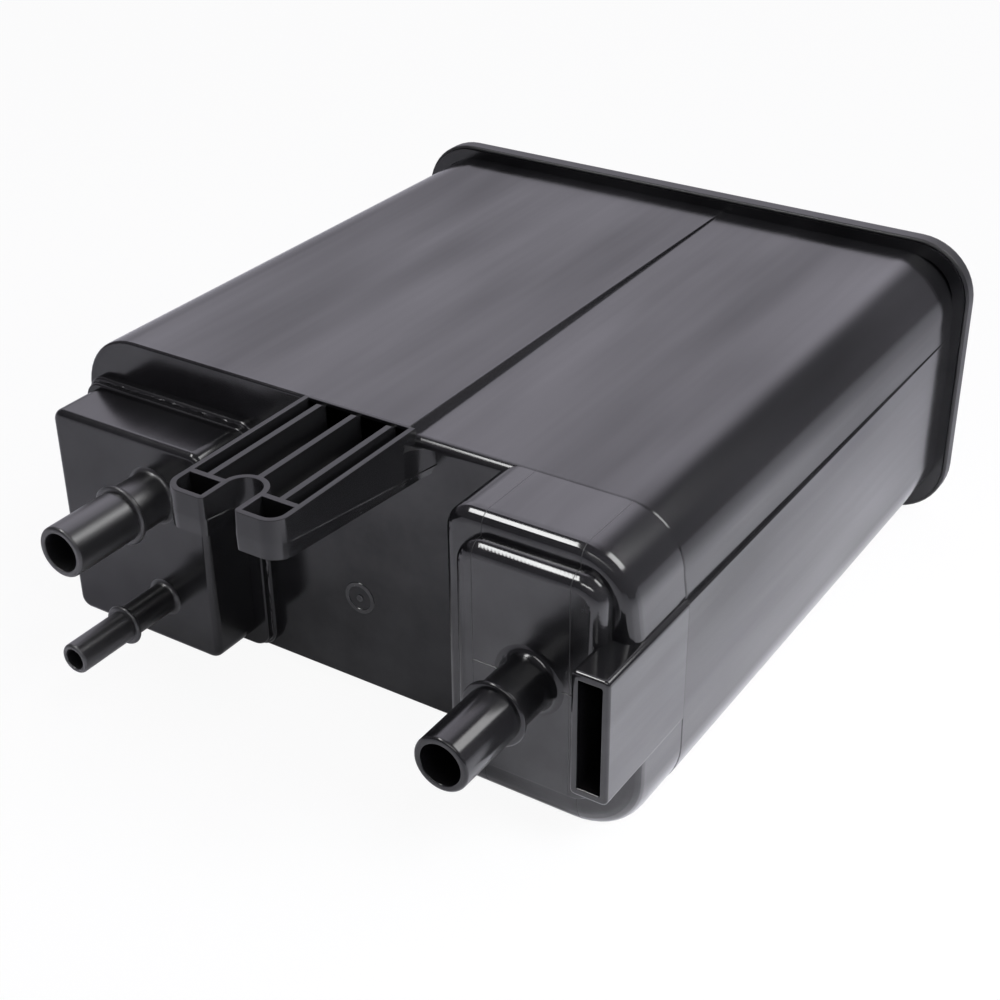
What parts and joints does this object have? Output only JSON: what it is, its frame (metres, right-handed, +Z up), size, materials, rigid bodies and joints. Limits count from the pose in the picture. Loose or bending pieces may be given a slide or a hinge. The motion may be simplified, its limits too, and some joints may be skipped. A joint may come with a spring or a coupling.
{
  "type": "fuel vapour charcoal canister",
  "caption": "Black moulded charcoal canister for a fuel tank's vapours: welded rear cover, hose nipples, slotted bracket, clip pocket, and carbon beds held by spring-loaded plates inside.",
  "frame": {"origin": "under the middle of the whole part, in the plane of the rim's lowest edge", "axes": "+X across the front towards the vent nipple, +Y from the nipples to the welded cover, +Z up"},
  "size_m": [0.217, 0.2696, 0.1019],
  "materials": {
    "shell": "satin black moulded plastic",
    "grid": "matt dark moulded plastic",
    "felt": "pressed polyester felt",
    "carbon": "matt black carbon pellets",
    "spring": "drawn spring steel wire",
    "foam": "open-cell grey foam"
  },
  "bodies": {
    "root": {"canister_body": "shell", "port_cap": "shell", "rear_cover": "shell", "main_front_grid": "grid", "main_front_felt": "felt", "main_carbon_bed": "carbon", "main_rear_felt": "felt", "main_retainer": "grid", "vent_front_grid": "grid", "vent_front_felt": "felt", "vent_carbon_bed": "carbon", "vent_rear_felt": "felt", "vent_retainer": "grid", "main_spring_1": "spring", "main_spring_2": "spring", "main_spring_3": "spring", "main_spring_4": "spring", "vent_spring_1": "spring", "vent_spring_2": "spring", "port_cap_foam": "foam", "vent_chamber_foam": "foam"}
  },
  "joints": []
}
